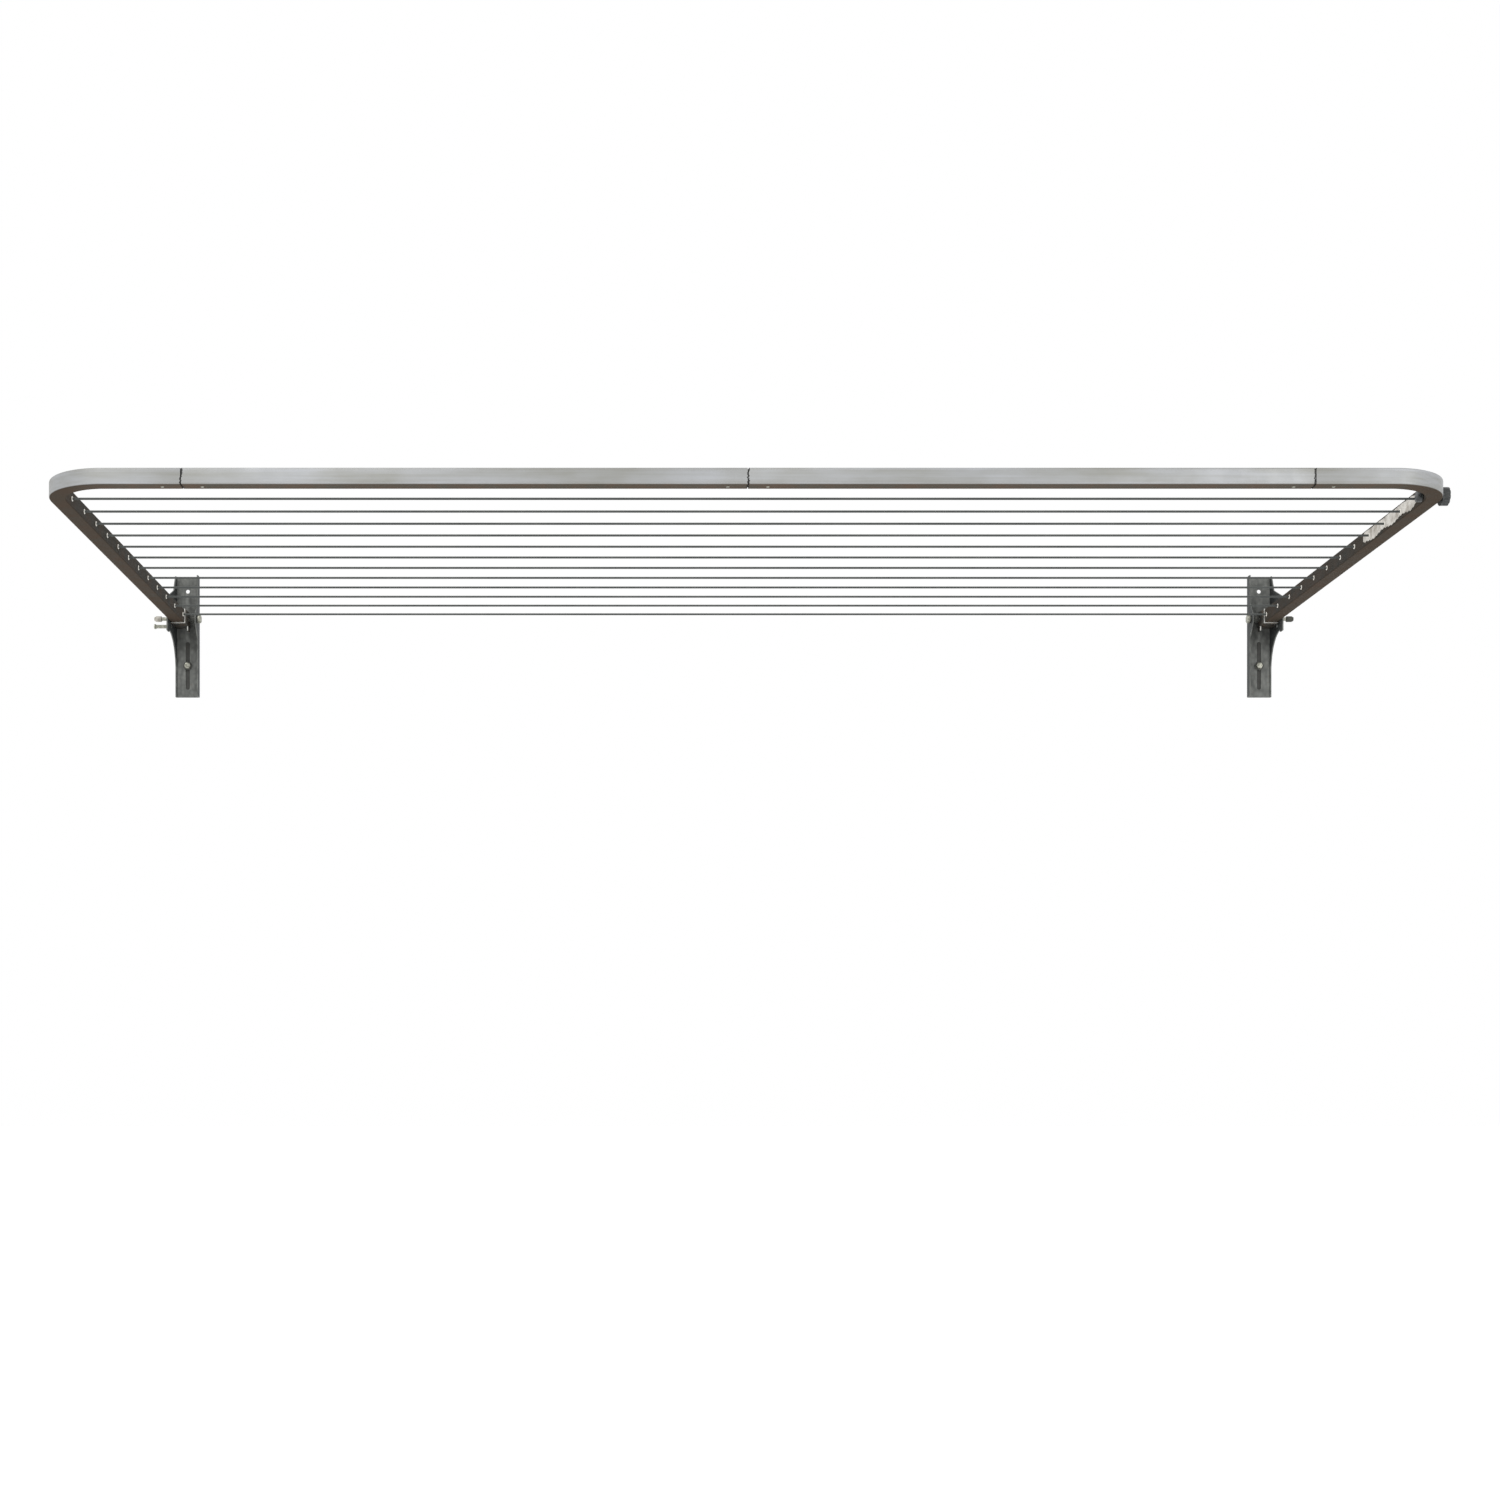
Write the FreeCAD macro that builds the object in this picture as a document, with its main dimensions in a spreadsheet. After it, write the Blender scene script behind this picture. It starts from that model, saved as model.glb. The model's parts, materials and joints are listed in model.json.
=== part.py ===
import FreeCAD, Part
import math
import os
from FreeCAD import Placement, Rotation, Vector

# Wall mounted fold down drying rack.
# +X runs along the wall, -Y comes out of the wall, +Z is up, lengths are millimetres.
# The origin is midway between the two upper wall holes, on the wall's face.

doc = FreeCAD.newDocument("drying_rack")
sheet = doc.addObject("Spreadsheet::Sheet", "Sizes")

sizes = {
    "rack_width": 2494,          # over the two arms
    "rack_depth": 1220,          # wall to the front rail's face
    "tube_side": 30,
    "tube_wall": 2,
    "tube_corner": 3,
    "bend_radius": 105,          # centre line of the corner bends
    "arm_level": -70,            # centre line of the frame
    "arm_rear": 19,              # wall to the arms' rear ends
    "seam_offset": 990,          # rail joints, from the middle
    "seam_gap": 1.6,
    "sleeve_length": 120,
    "sleeve_wall": 1.5,
    "sleeve_gap": 0.1,
    "bracket_inner": 1196,
    "bracket_outer": 1251,
    "bracket_top": 33,
    "bracket_bottom": -242,
    "plate": 3,
    "wall_hole_radius": 4.5,
    "groove_top": -115,          # pressed groove down the web
    "groove_low": -224,
    "groove_deep": 1.2,
    "fold_radius": 4,
    "flange_rim": 4,             # outer flange, proud of the web low down
    "knee_sweep": 78,            # radius of the knee's lower edge
    "wall_bolt_level": -170,
    "wall_bolt_reach": 45,
    "thread_radius": 3.65,       # mean radius of the screws' thread
    "wall_washer_radius": 10,
    "pivot_out": 36,             # wall to the pivot's axis
    "bolt_radius": 4,
    "running_gap": 0.05,
    "head_flats": 13,
    "head_thick": 5.3,
    "pivot_flats": 16,
    "pivot_head": 8,
    "nut_thick": 6.8,
    "washer_radius": 8,
    "washer_thick": 1.6,
    "bolt_end": 1284,
    "cap_start": 1276,
    "cap_end": 1292,
    "cap_radius": 6.5,
    "shoe_front": 78,
    "shoe_plate": 3,
    "pin_out": 62,
    "pin_level": -92.4,          # 0.4 under the shoe
    "pin_end": 1287,
    "pin_head": 5.5,
    "line_count": 12,
    "line_first": 88,            # wall to the rearmost line
    "line_pitch": 89.2,
    "line_radius": 2.1,
    "link_radius": 12,
    "eyelet_radius": 4,
    "eyelet_flange": 4.9,
    "eyelet_lip": 1,
    "spindle_out": 1100,
    "spindle_level": -74,
    "drum_radius": 8,
    "knob_radius": 16.5,
    "knob_thick": 14,
    "knob_boss": 9,
    "notch_radius": 2.4,
    "inner_cap_radius": 10,
    "spacer_radius": 7,
    "rivet_radius": 1.6,
    "rivet_head": 3.2,
    "rivet_reach": 35,           # rail joint to rivet
}
for row, (alias, value) in enumerate(sizes.items(), start=1):
    sheet.set(f"A{row}", alias.replace("_", " "))
    sheet.set(f"B{row}", str(value))
    sheet.setAlias(f"B{row}", alias)
doc.recompute()


def size(alias):
    return float(sheet.get(alias))


def bind(item, values):
    for key, text in values.items():
        item.setExpression(key, text)


def put(item, place):
    bind(item, {f"Placement.Base.{axis}": text for axis, text in zip("xyz", place)})
    return item


def box(name, extent, place):
    item = doc.addObject("Part::Box", name)
    bind(item, dict(zip(("Length", "Width", "Height"), extent)))
    return put(item, place)


turns = {
    "x": Rotation(Vector(0, 1, 0), 90),
    "y": Rotation(Vector(1, 0, 0), -90),
    "z": Rotation(),
}


def rod(name, radius, length, place, along="x"):
    item = doc.addObject("Part::Cylinder", name)
    item.Placement = Placement(Vector(), turns[along])
    bind(item, {"Radius": radius, "Height": length})
    return put(item, place)


def hexagon(name, flats, length, place, along="x"):
    item = doc.addObject("Part::Prism", name)
    item.Polygon = 6
    item.Placement = Placement(Vector(), turns[along])
    bind(item, {"Circumradius": f"({flats}) / sqrt(3)", "Height": length})
    return put(item, place)


def cut(name, base, tool):
    item = doc.addObject("Part::Cut", name)
    item.Base = base
    item.Tool = tool
    return item


def fuse(name, pieces):
    item = doc.addObject("Part::MultiFuse", name)
    item.Shapes = pieces
    return item


def together(name, pieces):
    item = doc.addObject("Part::Compound", name)
    item.Links = pieces
    return item


def mirrored(name, source):
    item = doc.addObject("Part::Mirroring", name)
    item.Source = source
    item.Normal = Vector(1, 0, 0)
    return item


def both_sides(name, source):
    return together(name, [source, mirrored(name + "_left", source)])


def tube(name, radius, bore, length, place, along="x"):
    return cut(name, rod(name + "_outside", radius, length, place, along),
               rod(name + "_bore", bore, length, place, along))


def origin_plane(body, role):
    return next(item for item in body.Origin.OriginFeatures if item.Role == role)


def sketch_on(body, name, role, offset="0"):
    sketch = body.newObject("Sketcher::SketchObject", name)
    sketch.AttachmentSupport = (origin_plane(body, role), [""])
    sketch.MapMode = "FlatFace"
    sketch.setExpression("AttachmentOffset.Base.z", offset)
    return sketch


def worked_out(text):
    """The value that an expression in the sheet's names has."""
    probe = doc.addObject("App::FeaturePython", "Probe")
    probe.addProperty("App::PropertyFloat", "Value")
    probe.setExpression("Value", text)
    probe.recompute()
    value = probe.Value
    doc.removeObject(probe.Name)
    return value


def outline(sketch, corners, sweep=None):
    """A closed outline, each corner held by two distances bound to the sheet.
    The edge that starts at corner number sweep is a quarter circle, and the others are straight."""
    import Sketcher
    points = [Vector(worked_out(x), worked_out(y), 0) for x, y in corners]
    first = sketch.GeometryCount
    for number, (here, there) in enumerate(zip(points, points[1:] + points[:1])):
        if number == sweep:
            circle = Part.Circle(Vector(there.x, here.y, 0), Vector(0, 0, 1), here.x - there.x)
            sketch.addGeometry(Part.ArcOfCircle(circle, 0, math.pi / 2))
        else:
            sketch.addGeometry(Part.LineSegment(here, there))
    for number, (x, y) in enumerate(corners):
        edge = first + number
        following = first + (number + 1) % len(corners)
        sketch.addConstraint(Sketcher.Constraint("Coincident", edge, 2, following, 1))
        for kind, text, value in (("DistanceX", x, points[number].x), ("DistanceY", y, points[number].y)):
            index = sketch.addConstraint(Sketcher.Constraint(kind, -1, 1, edge, 1, value))
            sketch.setExpression(f"Constraints[{index}]", text)


def rounded_square(sketch, half, corner, middle_x, middle_y):
    """A square ring's outline with round corners, about its middle."""
    import Sketcher
    reach = half - corner
    first = sketch.GeometryCount
    for step in range(4):
        turn = math.pi / 2 * step
        spin = Rotation(Vector(0, 0, 1), 90 * step)
        centre = Vector(middle_x, middle_y, 0)
        start = centre + spin.multVec(Vector(half, -reach, 0))
        stop = centre + spin.multVec(Vector(half, reach, 0))
        hub = centre + spin.multVec(Vector(reach, reach, 0))
        sketch.addGeometry(Part.LineSegment(start, stop))
        arc = Part.Circle(hub, Vector(0, 0, 1), corner)
        sketch.addGeometry(Part.ArcOfCircle(arc, turn, turn + math.pi / 2))
    for step in range(8):
        here = first + step
        following = first + (step + 1) % 8
        sketch.addConstraint(Sketcher.Constraint("Coincident", here, 2, following, 1))


def pad(body, name, sketch, length, back=False):
    item = body.newObject("PartDesign::Pad", name)
    item.Profile = sketch
    item.Reversed = back
    item.setExpression("Length", length)
    return item


# ---- wall brackets -------------------------------------------------------------------

def make_bracket():
    body = doc.addObject("PartDesign::Body", "BracketRight")
    web = sketch_on(body, "WebOutline", "XZ_Plane")
    inner, outer = "Sizes.bracket_inner", "Sizes.bracket_outer"
    low, top = "Sizes.bracket_bottom", "Sizes.bracket_top"
    outline(web, [(inner, low), (outer, low), (outer, top), (inner, top)])
    pad(body, "Web", web, "Sizes.plate")

    # The outer flange is a knee that carries the arm; Y is the sketch's first axis here.
    level = "Sizes.arm_level"
    sweep = "Sizes.knee_sweep"
    rim = "(Sizes.plate + Sizes.flange_rim)"
    knee = [("0", low), (f"-{rim}", low), (f"-{rim}", f"{level} - 34 - {sweep}"),
            (f"-{rim} - {sweep}", f"{level} - 34"), (f"-{rim} - {sweep}", f"{level} - 39"), ("-104", f"{level} - 39"),
            ("-104", f"{level} + 30"), ("-99", f"{level} + 39"), ("-32", f"{level} + 66"), ("-12", top), ("0", top)]
    side = sketch_on(body, "KneeOutline", "YZ_Plane", "Sizes.bracket_outer - Sizes.plate")
    outline(side, knee, sweep=2)
    pad(body, "Knee", side, "Sizes.plate")

    # The inner flange is a lip with an ear round the pivot.
    lip = [("0", low), ("-24", low), ("-24", f"{level} - 40"), ("-44", f"{level} - 17"),
           ("-52", f"{level} - 9"), ("-52", f"{level} + 9"), ("-44", f"{level} + 17"),
           ("-24", f"{level} + 40"), ("-24", top), ("0", top)]
    side = sketch_on(body, "LipOutline", "YZ_Plane", "Sizes.bracket_inner")
    outline(side, lip)
    lip_pad = pad(body, "Lip", side, "Sizes.plate")

    # The two folds between the web and its flanges are round on the wall side.
    doc.recompute()
    folds = []
    for number, edge in enumerate(lip_pad.Shape.Edges, start=1):
        room = edge.BoundBox
        upright = room.ZLength > size("bracket_top") - size("bracket_bottom") - 1
        on_wall = abs(room.YMin) < 0.01 and abs(room.YMax) < 0.01
        at_side = min(abs(room.XMin - size(name)) for name in ("bracket_inner", "bracket_outer")) < 0.01
        if upright and on_wall and at_side:
            folds.append(f"Edge{number}")
    rounding = body.newObject("PartDesign::Fillet", "Folds")
    rounding.Base = (lip_pad, folds)
    rounding.setExpression("Radius", "Sizes.fold_radius")
    return body


middle = "(Sizes.bracket_inner + Sizes.bracket_outer) / 2"
bracket_blank = make_bracket()
groove_floor = "-Sizes.plate"
groove_length = "Sizes.groove_top - Sizes.groove_low - 2 * Sizes.wall_hole_radius"
bracket_tools = [
    rod("UpperHole", "Sizes.wall_hole_radius", "20", (middle, "-10", "0"), "y"),
    rod("LowerHole", "Sizes.bolt_radius + 0.3", "20", (middle, "-10", "Sizes.wall_bolt_level"), "y"),
    rod("GrooveTop", "Sizes.wall_hole_radius", "Sizes.groove_deep",
        (middle, groove_floor, "Sizes.groove_top - Sizes.wall_hole_radius"), "y"),
    rod("GrooveLow", "Sizes.wall_hole_radius", "Sizes.groove_deep",
        (middle, groove_floor, "Sizes.groove_low + Sizes.wall_hole_radius"), "y"),
    box("GrooveMiddle", ("2 * Sizes.wall_hole_radius", "Sizes.groove_deep", groove_length),
        (f"{middle} - Sizes.wall_hole_radius", groove_floor, "Sizes.groove_low + Sizes.wall_hole_radius")),
    rod("PivotHoles", "Sizes.bolt_radius + Sizes.running_gap", "90",
        ("Sizes.bracket_inner - 10", "-Sizes.pivot_out", "Sizes.arm_level")),
    rod("PinHole", "Sizes.bolt_radius + Sizes.running_gap", "20",
        ("Sizes.bracket_outer - 10", "-Sizes.pin_out", "Sizes.pin_level")),
]
bracket_right = cut("wall_bracket_right", bracket_blank, together("BracketHoles", bracket_tools))
bracket_left = mirrored("wall_bracket_left", bracket_right)

# ---- bent arms -----------------------------------------------------------------------

half_width = "Sizes.rack_width / 2"
arm_axis = f"{half_width} - Sizes.tube_side / 2"


def make_arm():
    body = doc.addObject("PartDesign::Body", "ArmRight")
    axis_x = size("rack_width") / 2 - size("tube_side") / 2
    rail_y = -(size("rack_depth") - size("tube_side") / 2)
    bend = size("bend_radius")
    section = sketch_on(body, "TubeSection", "XZ_Plane", "Sizes.arm_rear")
    outside = size("tube_side") / 2
    rounded_square(section, outside, size("tube_corner"), axis_x, size("arm_level"))
    rounded_square(section, outside - size("tube_wall"), size("tube_corner") - size("tube_wall"),
                   axis_x, size("arm_level"))
    route = sketch_on(body, "TubeRoute", "XY_Plane", "Sizes.arm_level")
    hub = Vector(axis_x - bend, rail_y + bend, 0)
    route.addGeometry(Part.LineSegment(Vector(axis_x, -size("arm_rear"), 0), Vector(axis_x, hub.y, 0)))
    circle = Part.Circle(hub, Vector(0, 0, 1), bend)
    route.addGeometry(Part.ArcOfCircle(circle, -math.pi / 2, 0))
    seam = size("seam_offset") + size("seam_gap") / 2
    route.addGeometry(Part.LineSegment(Vector(hub.x, rail_y, 0), Vector(seam, rail_y, 0)))
    doc.recompute()
    pipe = body.newObject("PartDesign::AdditivePipe", "BentTube")
    pipe.Profile = section
    pipe.Spine = (route, ["Edge1", "Edge2", "Edge3"])
    doc.recompute()
    return body


def line_place(number):
    return f"-(Sizes.line_first + {number} * Sizes.line_pitch)"


arm_blank = make_arm()
line_count = int(size("line_count"))
inner_wall = f"{half_width} - Sizes.tube_side"
line_holes = [
    rod(f"LineHole{number}", "Sizes.eyelet_radius", "12",
        (f"{inner_wall} - 5", line_place(number), "Sizes.arm_level"))
    for number in range(line_count)
]
pivot_bore = rod("ArmPivotBore", "Sizes.bolt_radius + 2", "60",
                 (f"{inner_wall} - 10", "-Sizes.pivot_out", "Sizes.arm_level"))
spindle_bore = rod("ArmSpindleBore", "Sizes.bolt_radius + Sizes.running_gap", "60",
                   (f"{inner_wall} - 10", "-Sizes.spindle_out", "Sizes.spindle_level"))
holes_common = together("ArmHoles", line_holes + [pivot_bore])
arm_plain = cut("ArmDrilled", arm_blank, holes_common)
arm_right = cut("right_arm", arm_plain, spindle_bore)
arm_left = mirrored("left_arm", arm_plain)

# ---- front rails and their joints ----------------------------------------------------


def square_tube(name, side, wall, corner, start, length):
    """A straight square tube along X on the front rail's centre line."""
    rail_y = "-(Sizes.rack_depth - Sizes.tube_side / 2)"

    def bar(label, side_text, round_text):
        parts = []
        for wide, tall in ((side_text, f"{side_text} - 2 * ({round_text})"),
                           (f"{side_text} - 2 * ({round_text})", side_text)):
            parts.append(box(f"{label}_{len(parts)}", (length, wide, tall),
                             (start, f"{rail_y} - ({wide}) / 2", f"Sizes.arm_level - ({tall}) / 2")))
        for number, (way_y, way_z) in enumerate(((1, 1), (1, -1), (-1, 1), (-1, -1))):
            shift = f"(({side_text}) / 2 - ({round_text}))"
            parts.append(rod(f"{label}_round{number}", round_text, length,
                             (start, f"{rail_y} + {way_y} * {shift}", f"Sizes.arm_level + {way_z} * {shift}")))
        return fuse(label, parts)

    return cut(name, bar(name + "_bar", side, corner), bar(name + "_hollow", f"{side} - 2 * ({wall})",
                                                          f"{corner} - ({wall})"))


rail_start = "Sizes.seam_gap / 2"
rail_length = "Sizes.seam_offset - Sizes.seam_gap"
rail_right = square_tube("front_rail_right", "Sizes.tube_side", "Sizes.tube_wall", "Sizes.tube_corner",
                         rail_start, rail_length)
rail_left = mirrored("front_rail_left", rail_right)

sleeve_side = "(Sizes.tube_side - 2 * Sizes.tube_wall - 2 * Sizes.sleeve_gap)"
sleeve_corner = "(Sizes.sleeve_wall + 0.5)"
sleeve_centre = square_tube("joint_sleeve_centre", sleeve_side, "Sizes.sleeve_wall", sleeve_corner,
                            "-Sizes.sleeve_length / 2", "Sizes.sleeve_length")
sleeve_right = square_tube("joint_sleeve_right", sleeve_side, "Sizes.sleeve_wall", sleeve_corner,
                           "Sizes.seam_offset - Sizes.sleeve_length / 2", "Sizes.sleeve_length")
sleeve_left = mirrored("joint_sleeve_left", sleeve_right)

# Blind rivets under the rail hold each tube to its sleeve.
rail_middle = "-(Sizes.rack_depth - Sizes.tube_side / 2)"
under_rail = "Sizes.arm_level - Sizes.tube_side / 2"


def rivet(name, place_x):
    head = rod(name + "_head", "Sizes.rivet_head", "1", (place_x, rail_middle, f"{under_rail} - 1"), "z")
    shank = rod(name + "_shank", "Sizes.rivet_radius", "5", (place_x, rail_middle, under_rail), "z")
    return fuse(name, [head, shank])


rivet_places = [f"{side} * Sizes.seam_offset + ({way}) * Sizes.rivet_reach"
                for side in (-1, 0, 1) for way in (-1, 1)]
rivets = together("rail_rivets", [
    rivet(f"Rivet{number}", place_x) for number, place_x in enumerate(rivet_places)])
rivet_holes = together("RivetHoles", [
    rod(f"RivetHole{number}", "Sizes.rivet_radius", "12", (place_x, rail_middle, f"{under_rail} - 5"), "z")
    for number, place_x in enumerate(rivet_places)])

# ---- pivots --------------------------------------------------------------------------

pivot_y = "-Sizes.pivot_out"
flange_face = "(Sizes.bracket_inner - Sizes.washer_thick)"


def pivot_rod(name, radius, start, stop):
    return rod(name, radius, f"({stop}) - ({start})", (start, pivot_y, "Sizes.arm_level"))


bolt_head = hexagon("PivotHead", "Sizes.pivot_flats", "Sizes.pivot_head",
                    (f"{flange_face} - Sizes.pivot_head", pivot_y, "Sizes.arm_level"))
bolt_shank = pivot_rod("PivotShank", "Sizes.bolt_radius", f"{flange_face} - 1", "Sizes.bolt_end")
pivot_bolts = both_sides("pivot_bolts", fuse("PivotBolt", [bolt_head, bolt_shank]))


def washer(name, start):
    return tube(name, "Sizes.washer_radius", "Sizes.bolt_radius + 0.2", "Sizes.washer_thick",
                (start, pivot_y, "Sizes.arm_level"))


pivot_washers = both_sides("pivot_washers", together("PivotWashers", [
    washer("InnerWasher", flange_face), washer("OuterWasher", "Sizes.bracket_outer")]))
nut_start = "Sizes.bracket_outer + Sizes.washer_thick"
nut_blank = hexagon("NutBlank", "Sizes.head_flats", "Sizes.nut_thick", (nut_start, pivot_y, "Sizes.arm_level"))
nut_bore = rod("NutBore", "Sizes.bolt_radius", "Sizes.nut_thick", (nut_start, pivot_y, "Sizes.arm_level"))
pivot_nuts = both_sides("pivot_nuts", cut("PivotNut", nut_blank, nut_bore))

sleeve_start = "Sizes.bracket_inner + Sizes.plate"
shoe_start = f"({inner_wall} - Sizes.shoe_plate)"
spacers = both_sides("spacer_sleeves", tube("Spacer", "Sizes.spacer_radius", "Sizes.bolt_radius + 0.1",
                                            f"{shoe_start} - ({sleeve_start}) - 0.4",
                                            (sleeve_start, pivot_y, "Sizes.arm_level")))

cap_solid = fuse("CapSolid", [
    pivot_rod("CapBody", "Sizes.cap_radius", "Sizes.cap_start", "Sizes.cap_end - 3"),
    pivot_rod("CapTip", "Sizes.cap_radius - 1.5", "Sizes.cap_end - 3", "Sizes.cap_end")])
cap_hole = pivot_rod("CapHole", "Sizes.bolt_radius", "Sizes.cap_start", "Sizes.bolt_end")
bolt_caps = both_sides("bolt_end_caps", cut("BoltCap", cap_solid, cap_hole))

# A shoe under and inside each arm's rear end bears on the lock pin.
arm_low = "(Sizes.arm_level - Sizes.tube_side / 2)"
shoe_reach = "Sizes.shoe_front - Sizes.arm_rear"
shoe_blank = fuse("ShoeBlank", [
    box("ShoeSide", ("Sizes.shoe_plate", shoe_reach, "Sizes.tube_side + Sizes.shoe_plate"),
        (shoe_start, "-Sizes.shoe_front", f"{arm_low} - Sizes.shoe_plate")),
    box("ShoeFloor", ("Sizes.tube_side + Sizes.shoe_plate", shoe_reach, "Sizes.shoe_plate"),
        (shoe_start, "-Sizes.shoe_front", f"{arm_low} - Sizes.shoe_plate")),
    box("ShoeEar", ("Sizes.shoe_plate", "20", "16"),
        (shoe_start, "-Sizes.pivot_out - 10", f"{arm_low} - 13")),
])
shoe_bore = rod("ShoeBore", "Sizes.bolt_radius + 2", "20",
                (f"{shoe_start} - 5", pivot_y, "Sizes.arm_level"))
shoe_right = cut("pivot_shoe_right", shoe_blank, shoe_bore)
shoe_left = mirrored("pivot_shoe_left", shoe_right)

# Nylon bushes line the arm's two walls and turn on the bolt.
bush_bore = "Sizes.bolt_radius + Sizes.running_gap"
bushes = both_sides("pivot_bushes", together("PivotBushes", [
    tube("InnerBush", "Sizes.bolt_radius + 2", bush_bore, "Sizes.shoe_plate + Sizes.tube_wall + 2",
         (shoe_start, pivot_y, "Sizes.arm_level")),
    tube("OuterBush", "Sizes.bolt_radius + 2", bush_bore, "Sizes.tube_wall + 2",
         (f"{half_width} - Sizes.tube_wall - 2", pivot_y, "Sizes.arm_level"))]))

plug_side = "(Sizes.tube_side - 2 * Sizes.tube_wall - 0.8)"
plug_right = fuse("PlugSolid", [
    box("PlugFace", ("Sizes.tube_side", "2", "Sizes.tube_side"),
        (inner_wall, "-Sizes.arm_rear", arm_low)),
    box("PlugStem", (plug_side, "8", plug_side),
        (f"{arm_axis} - {plug_side} / 2", "-Sizes.arm_rear - 8", f"Sizes.arm_level - {plug_side} / 2"))])
plugs = both_sides("arm_end_plugs", plug_right)

# ---- the drying line and its eyelets -------------------------------------------------

line_end = f"({inner_wall} + Sizes.tube_wall)"
lines = together("drying_lines", [
    rod(f"Line{number}", "Sizes.line_radius", f"2 * {line_end}",
        (f"-{line_end}", line_place(number), "Sizes.arm_level"))
    for number in range(line_count)
])


def make_eyelet(number):
    start = f"{inner_wall} - Sizes.eyelet_lip"
    place = (start, line_place(number), "Sizes.arm_level")
    lip = rod(f"EyeletLip{number}", "Sizes.eyelet_flange", "Sizes.eyelet_lip", place)
    barrel = rod(f"EyeletBarrel{number}", "Sizes.eyelet_radius", "Sizes.eyelet_lip + Sizes.tube_wall", place)
    bore = rod(f"EyeletBore{number}", "Sizes.line_radius", "Sizes.eyelet_lip + Sizes.tube_wall", place)
    return cut(f"Eyelet{number}", fuse(f"EyeletSolid{number}", [lip, barrel]), bore)


eyelets_right = together("eyelets_right", [make_eyelet(number) for number in range(line_count)])
eyelets_left = mirrored("eyelets_left", eyelets_right)


def make_link(side, number):
    """The line's turn inside an arm, from one run to the next one forward."""
    bend = size("link_radius")
    level = size("arm_level")
    start_y = -(size("line_first") + number * size("line_pitch"))
    stop_y = start_y - size("line_pitch")
    mouth = side * (size("rack_width") / 2 - size("tube_side") + size("tube_wall"))
    deep = mouth + side * bend
    slant = bend * math.sqrt(0.5)

    def at(x, y):
        return Vector(x, y, level)

    first = Part.Arc(at(mouth, start_y), at(mouth + side * slant, start_y - bend + slant),
                     at(deep, start_y - bend))
    run = Part.LineSegment(at(deep, start_y - bend), at(deep, stop_y + bend))
    last = Part.Arc(at(deep, stop_y + bend), at(mouth + side * slant, stop_y + bend - slant),
                    at(mouth, stop_y))
    path = Part.Wire([piece.toShape() for piece in (first, run, last)])
    ring = Part.Wire([Part.makeCircle(size("line_radius"), at(mouth, start_y), Vector(side, 0, 0))])
    link = doc.addObject("Part::Feature", f"Link{'R' if side > 0 else 'L'}{number}")
    link.Shape = path.makePipeShell([ring], True, False)
    return link


links_left = together("line_turns_left", [make_link(-1, number) for number in range(0, line_count - 1, 2)])
links_right = together("line_turns_right", [make_link(1, number) for number in range(1, line_count - 1, 2)])

# The rearmost run ends in a crimped stop inside the right arm.
line_stop = rod("line_end_stop", "Sizes.line_radius + 2.5", "9", (line_end, line_place(0), "Sizes.arm_level"))

# ---- line tensioner ------------------------------------------------------------------


def spindle_rod(name, radius, start, stop):
    return rod(name, radius, f"({stop}) - ({start})", (start, "-Sizes.spindle_out", "Sizes.spindle_level"))


spindle_in = f"({inner_wall} - 9)"
spindle_end = f"({half_width} + 1.5 + Sizes.knob_thick - 3)"
spindle = fuse("tension_spindle", [
    spindle_rod("SpindleShaft", "Sizes.bolt_radius", spindle_in, spindle_end),
    spindle_rod("SpindleDrum", "Sizes.drum_radius", f"{inner_wall} + Sizes.tube_wall + 0.5",
                f"{half_width} - Sizes.tube_wall - 0.5")])
knob_start = f"({half_width} + 1.5)"
knob_solid = fuse("KnobSolid", [
    spindle_rod("KnobDisc", "Sizes.knob_radius", knob_start, f"{knob_start} + Sizes.knob_thick"),
    spindle_rod("KnobBoss", "Sizes.knob_boss", f"{half_width} + 0.5", knob_start)])
grip_notches = []
for number in range(10):
    angle = f"{number} * 36 deg"
    reach = "(Sizes.knob_radius + 1.2)"
    notch = rod(f"GripNotch{number}", "Sizes.notch_radius", "Sizes.knob_thick - 3",
                (f"{knob_start} + 3", f"-Sizes.spindle_out + {reach} * cos({angle})",
                 f"Sizes.spindle_level + {reach} * sin({angle})"))
    grip_notches.append(notch)
knob_bore = spindle_rod("KnobBore", "Sizes.bolt_radius", f"{half_width} - 5", spindle_end)
knob = cut("tension_knob", knob_solid, together("KnobCuts", grip_notches + [knob_bore]))
inner_cap_disc = spindle_rod("InnerCapDisc", "Sizes.inner_cap_radius", f"{spindle_in} - 2", f"{inner_wall} - 1.5")
inner_cap_bore = spindle_rod("InnerCapBore", "Sizes.bolt_radius", spindle_in, inner_wall)
inner_cap = cut("tension_inner_cap", inner_cap_disc, inner_cap_bore)

# ---- lock pin, wall bolts ------------------------------------------------------------


def pin_rod(name, radius, start, stop):
    return rod(name, radius, f"({stop}) - ({start})", (start, "-Sizes.pin_out", "Sizes.pin_level"))


pin_tip = "(Sizes.bracket_outer - Sizes.plate)"
lock_pin = mirrored("lock_pin", fuse("PinSolid", [
    pin_rod("PinShank", "Sizes.bolt_radius", pin_tip, "Sizes.pin_end"),
    pin_rod("PinHead", "Sizes.pin_head", "Sizes.pin_end - 4", "Sizes.pin_end")]))

wall_washer_face = "-Sizes.plate - Sizes.washer_thick"
wall_place = (middle, wall_washer_face, "Sizes.wall_bolt_level")
wall_head = hexagon("WallHead", "Sizes.head_flats", "Sizes.head_thick",
                    (middle, f"{wall_washer_face} - Sizes.head_thick", "Sizes.wall_bolt_level"), "y")
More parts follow.
